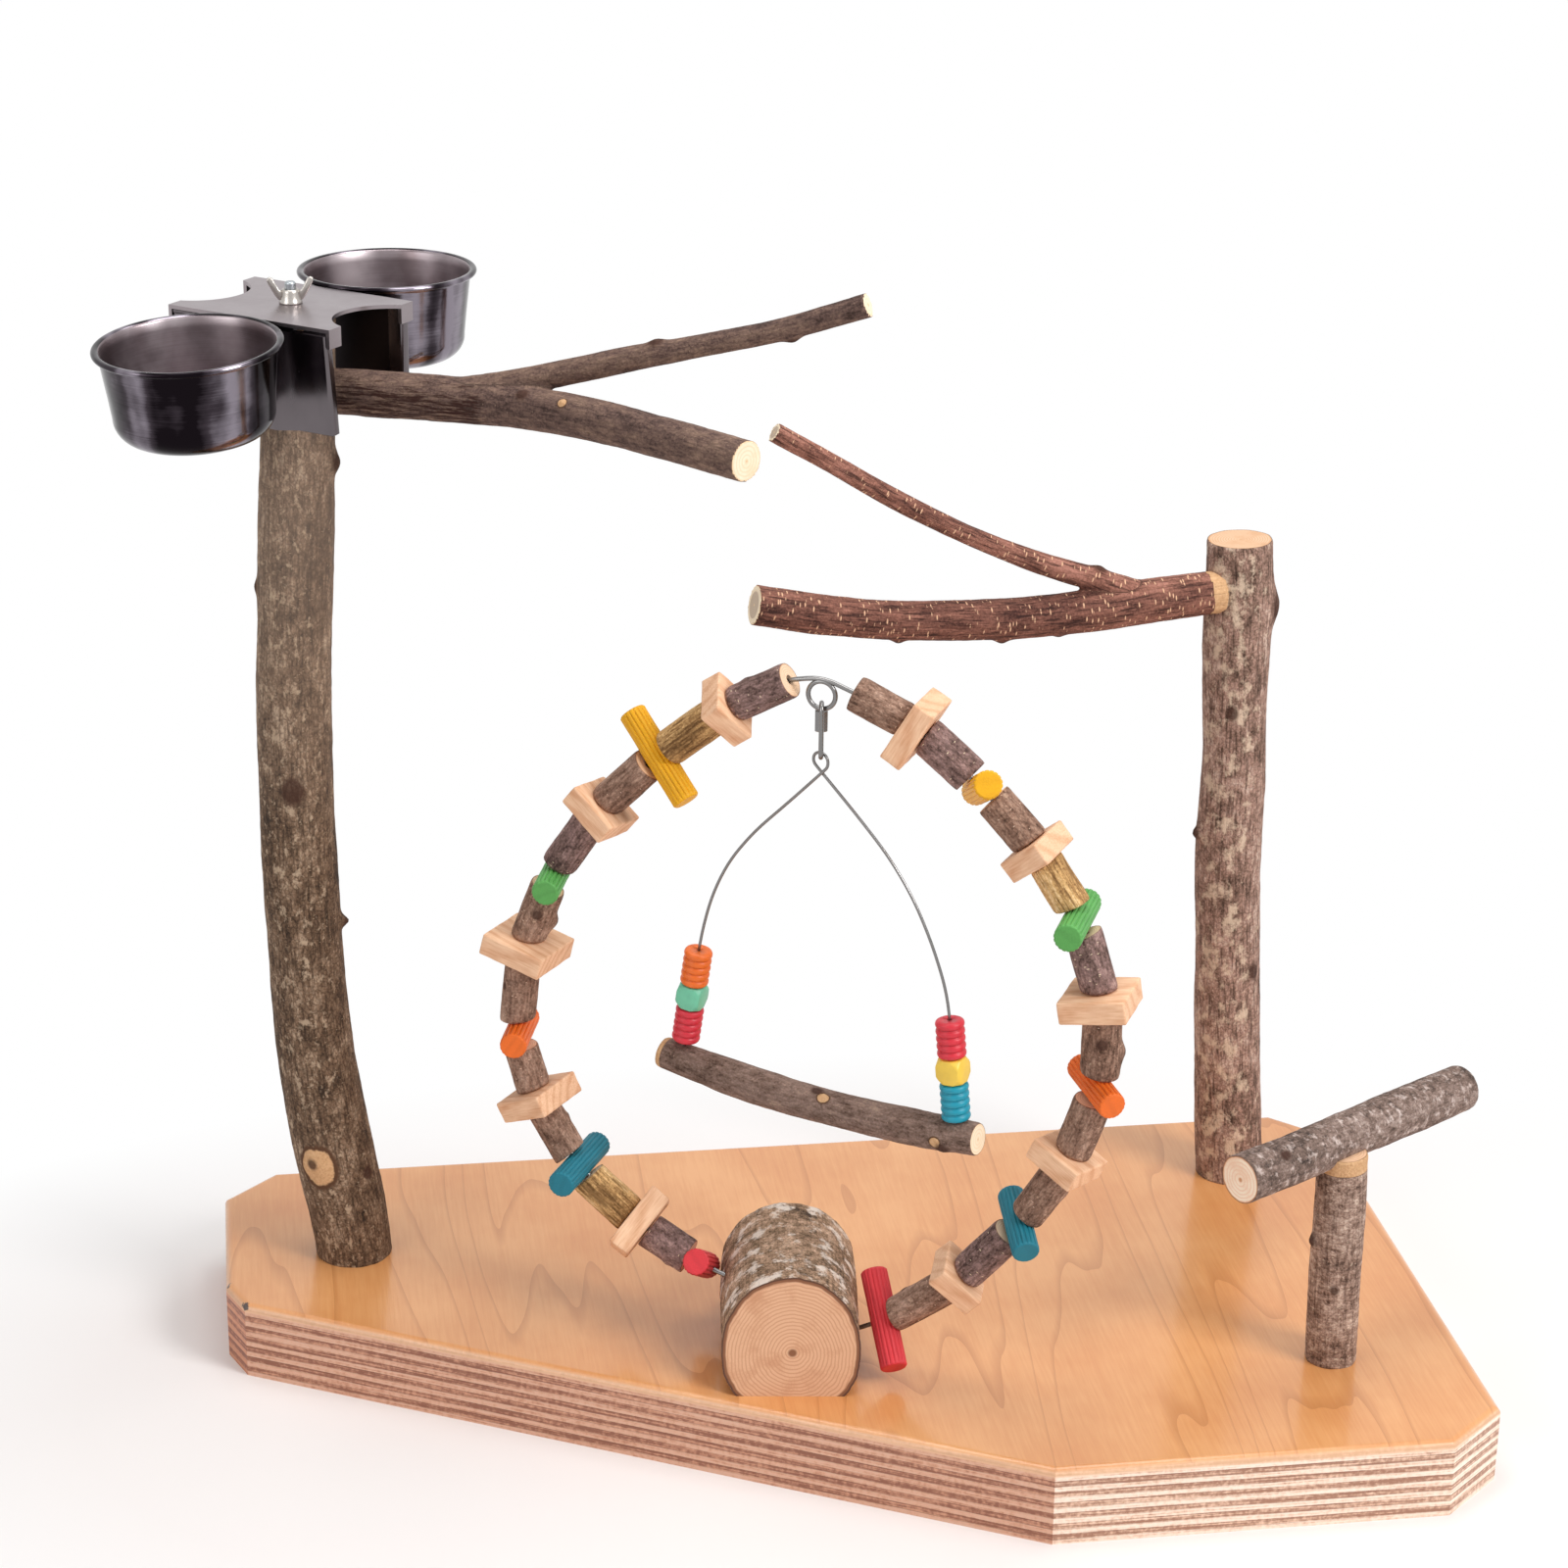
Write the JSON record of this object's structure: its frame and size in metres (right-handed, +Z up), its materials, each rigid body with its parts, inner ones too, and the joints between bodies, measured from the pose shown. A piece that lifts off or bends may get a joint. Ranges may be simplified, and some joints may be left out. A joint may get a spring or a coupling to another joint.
{
  "type": "parrot play stand",
  "caption": "Table-top perch stand for a parrot: plywood base, natural branch posts and forked perches, a beaded hoop with a swing, and two lift-out steel feeding bowls.",
  "frame": {"origin": "centre of the base board's underside", "axes": "+X along the long back edge towards the shorter post, +Y towards the back edge, +Z up"},
  "size_m": [0.7201, 0.395, 0.6265],
  "materials": {
    "bead_bark": "natural bark",
    "block_wood": "sanded",
    "blue_paint": "gloss",
    "bowl_steel": "polished stainless",
    "brown_bark": "natural bark",
    "green_dye": "satin dye",
    "log_wood": "sawn faces, white bark",
    "mint_paint": "gloss",
    "orange_dye": "satin dye",
    "orange_paint": "gloss",
    "plate_steel": "satin stainless",
    "plywood": "clear varnish",
    "post_bark": "natural bark",
    "red_bark": "smooth natural bark",
    "red_dye": "satin dye",
    "red_paint": "gloss",
    "screw_steel": "zinc plated",
    "teal_dye": "satin dye",
    "wire_steel": "drawn stainless wire",
    "yellow_dye": "satin dye",
    "yellow_paint": "gloss"
  },
  "bodies": {
    "stand": {"bark_beads_left_1": "bead_bark", "bark_beads_left_2": "bead_bark", "bark_beads_left_3": "bead_bark", "bark_beads_left_4": "bead_bark", "bark_beads_left_5": "bead_bark", "bark_beads_right_1": "bead_bark", "bark_beads_right_2": "bead_bark", "bark_beads_right_3": "bead_bark", "bark_beads_right_4": "bead_bark", "bark_beads_right_5": "bead_bark", "base_board": "plywood", "base_screws": "screw_steel", "bowl_bracket": "plate_steel", "branch_screws": "screw_steel", "cross_perch": "brown_bark", "hanger_bolt": "plate_steel", "hoop_log": "log_wood", "hoop_wire": "wire_steel", "left_post": "post_bark", "lower_fork_branch": "red_bark", "right_post": "post_bark", "short_post": "post_bark", "upper_fork_branch": "brown_bark"},
    "quick_link": {"quick_link": "wire_steel"},
    "link_sleeve": {"link_sleeve": "wire_steel"},
    "swing": {"swing_wire": "wire_steel", "swing_perch": "brown_bark"},
    "swing_bead_left_red": {"swing_bead_left_red": "red_paint"},
    "swing_bead_left_mint": {"swing_bead_left_mint": "mint_paint"},
    "swing_bead_left_orange": {"swing_bead_left_orange": "orange_paint"},
    "swing_bead_right_blue": {"swing_bead_right_blue": "blue_paint"},
    "swing_bead_right_yellow": {"swing_bead_right_yellow": "yellow_paint"},
    "swing_bead_right_red": {"swing_bead_right_red": "red_paint"},
    "lock_plate": {"lock_plate": "plate_steel"},
    "wing_nut": {"wing_nut": "plate_steel"},
    "back_bowl": {"back_bowl": "bowl_steel", "back_hook_plate": "plate_steel"},
    "front_bowl": {"front_bowl": "bowl_steel", "front_hook_plate": "plate_steel"},
    "block_left_1": {"block_left_1": "block_wood"},
    "dowel_left_yellow": {"dowel_left_yellow": "yellow_dye"},
    "block_left_2": {"block_left_2": "block_wood"},
    "dowel_left_green": {"dowel_left_green": "green_dye"},
    "block_left_3": {"block_left_3": "block_wood"},
    "dowel_left_orange": {"dowel_left_orange": "orange_dye"},
    "block_left_4": {"block_left_4": "block_wood"},
    "dowel_left_teal": {"dowel_left_teal": "teal_dye"},
    "block_left_5": {"block_left_5": "block_wood"},
    "dowel_left_red": {"dowel_left_red": "red_dye"},
    "block_right_1": {"block_right_1": "block_wood"},
    "dowel_right_yellow": {"dowel_right_yellow": "yellow_dye"},
    "block_right_2": {"block_right_2": "block_wood"},
    "dowel_right_green": {"dowel_right_green": "green_dye"},
    "block_right_3": {"block_right_3": "block_wood"},
    "dowel_right_orange": {"dowel_right_orange": "orange_dye"},
    "block_right_4": {"block_right_4": "block_wood"},
    "dowel_right_teal": {"dowel_right_teal": "teal_dye"},
    "block_right_5": {"block_right_5": "block_wood"},
    "dowel_right_red": {"dowel_right_red": "red_dye"}
  },
  "joints": [
    {"name": "link_rock", "type": "hinge", "parent": "stand", "child": "quick_link", "pos_m": [-0.02054, -0.0582, 0.41425], "axis": [0.8763, -0.4818, 0], "range_deg": [-35, 35]},
    {"name": "sleeve_unscrew", "type": "slide", "parent": "quick_link", "child": "link_sleeve", "axis": [0, 0, -1], "range_m": [0, 0.007]},
    {"name": "swing_sway", "type": "hinge", "parent": "quick_link", "child": "swing", "pos_m": [-0.02054, -0.0582, 0.38825], "axis": [-0.6428, -0.766, 0], "range_deg": [-6, 6]},
    {"name": "swing_bead_left_red_spin", "type": "hinge", "parent": "swing", "child": "swing_bead_left_red", "pos_m": [-0.08427, -0.00472, 0.196], "axis": [0.1165, -0.0977, 0.9884], "continuous": true},
    {"name": "swing_bead_left_mint_spin", "type": "hinge", "parent": "swing", "child": "swing_bead_left_mint", "pos_m": [-0.08427, -0.00472, 0.196], "axis": [0.1165, -0.0977, 0.9884], "continuous": true},
    {"name": "swing_bead_left_orange_spin", "type": "hinge", "parent": "swing", "child": "swing_bead_left_orange", "pos_m": [-0.08427, -0.00472, 0.196], "axis": [0.1165, -0.0977, 0.9884], "continuous": true},
    {"name": "swing_bead_right_blue_spin", "type": "hinge", "parent": "swing", "child": "swing_bead_right_blue", "pos_m": [0.04504, -0.11323, 0.193], "axis": [-0.0799, 0.067, 0.9945], "continuous": true},
    {"name": "swing_bead_right_yellow_spin", "type": "hinge", "parent": "swing", "child": "swing_bead_right_yellow", "pos_m": [0.04504, -0.11323, 0.193], "axis": [-0.0799, 0.067, 0.9945], "continuous": true},
    {"name": "swing_bead_right_red_spin", "type": "hinge", "parent": "swing", "child": "swing_bead_right_red", "pos_m": [0.04504, -0.11323, 0.193], "axis": [-0.0799, 0.067, 0.9945], "continuous": true},
    {"name": "lock_plate_lift", "type": "slide", "parent": "stand", "child": "lock_plate", "axis": [0, 0, 1], "range_m": [0, 0.08]},
    {"name": "wing_nut_turn", "type": "hinge", "parent": "lock_plate", "child": "wing_nut", "pos_m": [-0.2748, 0.0911, 0.59], "axis": [0, 0, 1], "continuous": true},
    {"name": "back_bowl_lift", "type": "slide", "parent": "stand", "child": "back_bowl", "axis": [0, 0, 1], "range_m": [0, 0.06]},
    {"name": "front_bowl_lift", "type": "slide", "parent": "stand", "child": "front_bowl", "axis": [-0.0516, -0.0658, 0.9965], "range_m": [0, 0.06]},
    {"name": "block_left_1_spin", "type": "hinge", "parent": "stand", "child": "block_left_1", "pos_m": [-0.06518, -0.03366, 0.40676], "axis": [0.7168, -0.3941, 0.5752], "continuous": true},
    {"name": "dowel_left_yellow_spin", "type": "hinge", "parent": "stand", "child": "dowel_left_yellow", "pos_m": [-0.09767, -0.0158, 0.37599], "axis": [0.6428, -0.3534, 0.6797], "continuous": true},
    {"name": "block_left_2_spin", "type": "hinge", "parent": "stand", "child": "block_left_2", "pos_m": [-0.12636, -0.00003, 0.34173], "axis": [0.5492, -0.3019, 0.7792], "continuous": true},
    {"name": "dowel_left_green_spin", "type": "hinge", "parent": "stand", "child": "dowel_left_green", "pos_m": [-0.15, 0.01297, 0.30046], "axis": [0.3988, -0.2193, 0.8904], "continuous": true},
    {"name": "block_left_3_spin", "type": "hinge", "parent": "stand", "child": "block_left_3", "pos_m": [-0.16428, 0.02082, 0.25707], "axis": [0.2052, -0.1128, 0.9722], "continuous": true},
    {"name": "dowel_left_orange_spin", "type": "hinge", "parent": "stand", "child": "dowel_left_orange", "pos_m": [-0.16873, 0.02327, 0.20638], "axis": [-0.082, 0.0451, 0.9956], "continuous": true},
    {"name": "block_left_4_spin", "type": "hinge", "parent": "stand", "child": "block_left_4", "pos_m": [-0.15922, 0.01804, 0.16872], "axis": [-0.3658, 0.2011, 0.9087], "continuous": true},
    {"name": "dowel_left_teal_spin", "type": "hinge", "parent": "stand", "child": "dowel_left_teal", "pos_m": [-0.13876, 0.00679, 0.13276], "axis": [-0.5872, 0.3228, 0.7423], "continuous": true},
    {"name": "block_left_5_spin", "type": "hinge", "parent": "stand", "child": "block_left_5", "pos_m": [-0.10805, -0.01009, 0.10424], "axis": [-0.7404, 0.4071, 0.5349], "continuous": true},
    {"name": "dowel_left_red_spin", "type": "hinge", "parent": "stand", "child": "dowel_left_red", "pos_m": [-0.07617, -0.02762, 0.08605], "axis": [-0.8226, 0.4522, 0.3446], "range_deg": [0, 110]},
    {"name": "block_right_1_spin", "type": "hinge", "parent": "stand", "child": "block_right_1", "pos_m": [0.0233, -0.0823, 0.4106], "axis": [0.7598, -0.4177, -0.4983], "continuous": true},
    {"name": "dowel_right_yellow_spin", "type": "hinge", "parent": "stand", "child": "dowel_right_yellow", "pos_m": [0.05414, -0.09925, 0.38396], "axis": [0.659, -0.3623, -0.6591], "continuous": true},
    {"name": "block_right_2_spin", "type": "hinge", "parent": "stand", "child": "block_right_2", "pos_m": [0.08017, -0.11357, 0.35423], "axis": [0.5639, -0.31, -0.7655], "continuous": true},
    {"name": "dowel_right_green_spin", "type": "hinge", "parent": "stand", "child": "dowel_right_green", "pos_m": [0.09983, -0.12437, 0.32098], "axis": [0.3887, -0.2137, -0.8962], "continuous": true},
    {"name": "block_right_3_spin", "type": "hinge", "parent": "stand", "child": "block_right_3", "pos_m": [0.11158, -0.13084, 0.27874], "axis": [0.1367, -0.0752, -0.9878], "continuous": true},
    {"name": "dowel_right_orange_spin", "type": "hinge", "parent": "stand", "child": "dowel_right_orange", "pos_m": [0.11156, -0.13082, 0.23146], "axis": [-0.1339, 0.0736, -0.9883], "continuous": true},
    {"name": "block_right_4_spin", "type": "hinge", "parent": "stand", "child": "block_right_4", "pos_m": [0.09976, -0.12433, 0.1875], "axis": [-0.3574, 0.1965, -0.9131], "continuous": true},
    {"name": "dowel_right_teal_spin", "type": "hinge", "parent": "stand", "child": "dowel_right_teal", "pos_m": [0.07839, -0.11259, 0.14549], "axis": [-0.5009, 0.2754, -0.8205], "continuous": true},
    {"name": "block_right_5_spin", "type": "hinge", "parent": "stand", "child": "block_right_5", "pos_m": [0.05058, -0.0973, 0.10705], "axis": [-0.6198, 0.3407, -0.707], "continuous": true},
    {"name": "dowel_right_red_spin", "type": "hinge", "parent": "stand", "child": "dowel_right_red", "pos_m": [0.01519, -0.07784, 0.07365], "axis": [-0.7314, 0.4021, -0.5509], "range_deg": [-38, 33]}
  ],
  "couplings": [
    {"joint": "back_bowl_lift", "follows": "lock_plate_lift", "ratio": 0.75},
    {"joint": "front_bowl_lift", "follows": "lock_plate_lift", "ratio": 0.75}
  ]
}
